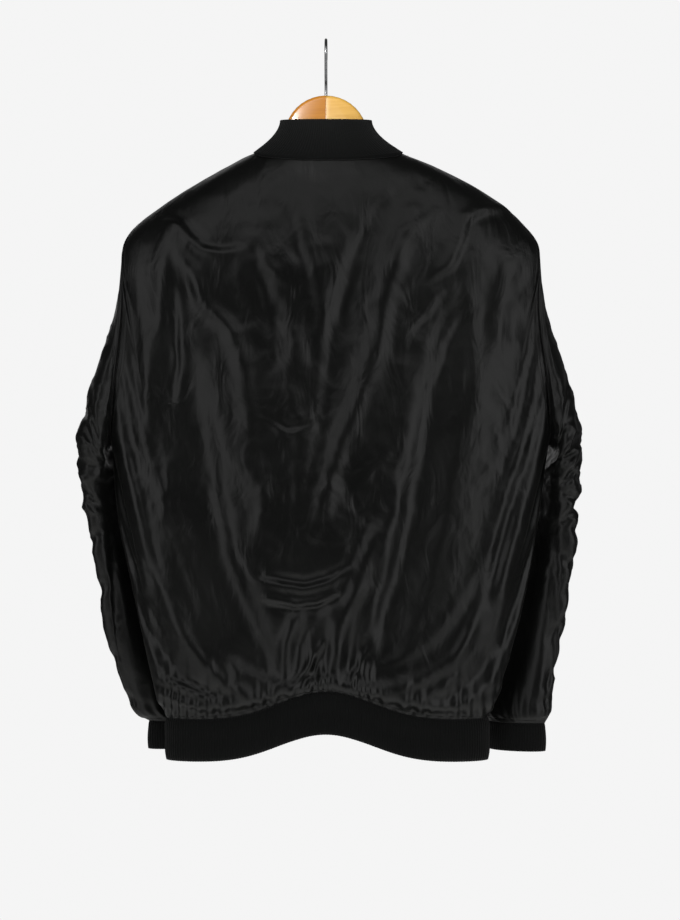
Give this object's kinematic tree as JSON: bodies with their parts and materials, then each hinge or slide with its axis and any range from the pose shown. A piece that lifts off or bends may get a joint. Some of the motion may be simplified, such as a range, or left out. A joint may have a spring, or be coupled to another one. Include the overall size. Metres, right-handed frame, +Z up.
{
  "type": "bomber jacket on a wooden hanger",
  "caption": "Glossy black nylon bomber jacket with rib-knit collar, cuffs and hem band, hung on a light wooden hanger with a steel hook.",
  "frame": {"origin": "The top of the inside of the hook's bend, where a rail carries it", "axes": "+Z is up. The back of the jacket faces +Y and the zipped front faces -Y. The wearer's left is +X."},
  "size_m": [0.631, 0.1909, 0.8997],
  "materials": {
    "nylon": "glossy black nylon, finely woven",
    "rib_knit": "matt black rib knit",
    "zip_tape": "black woven zip tape",
    "zip_metal": "dark burnished metal",
    "light_wood": "light wood under clear satin varnish",
    "steel_wire": "bright nickel-plated steel wire"
  },
  "bodies": {
    "jacket": {"back": "nylon", "front_left": "nylon", "front_right": "nylon", "sleeve_left": "nylon", "sleeve_right": "nylon", "collar": "rib_knit", "hem_band": "rib_knit", "cuff_left": "rib_knit", "cuff_right": "rib_knit", "zip_tape_left": "zip_tape", "zip_tape_right": "zip_tape", "zip_slider": "zip_metal", "hanger_arm_left": "light_wood", "hanger_arm_right": "light_wood", "hanger_hook": "steel_wire"},
    "zip_pull": {"zip_pull": "zip_metal"}
  },
  "joints": [
    {"name": "zip_pull_hinge", "type": "hinge", "parent": "jacket", "child": "zip_pull", "pos_m": [0, -0.06235, -0.22783], "axis": [-1, 0, 0], "range_deg": [0, 165]}
  ]
}
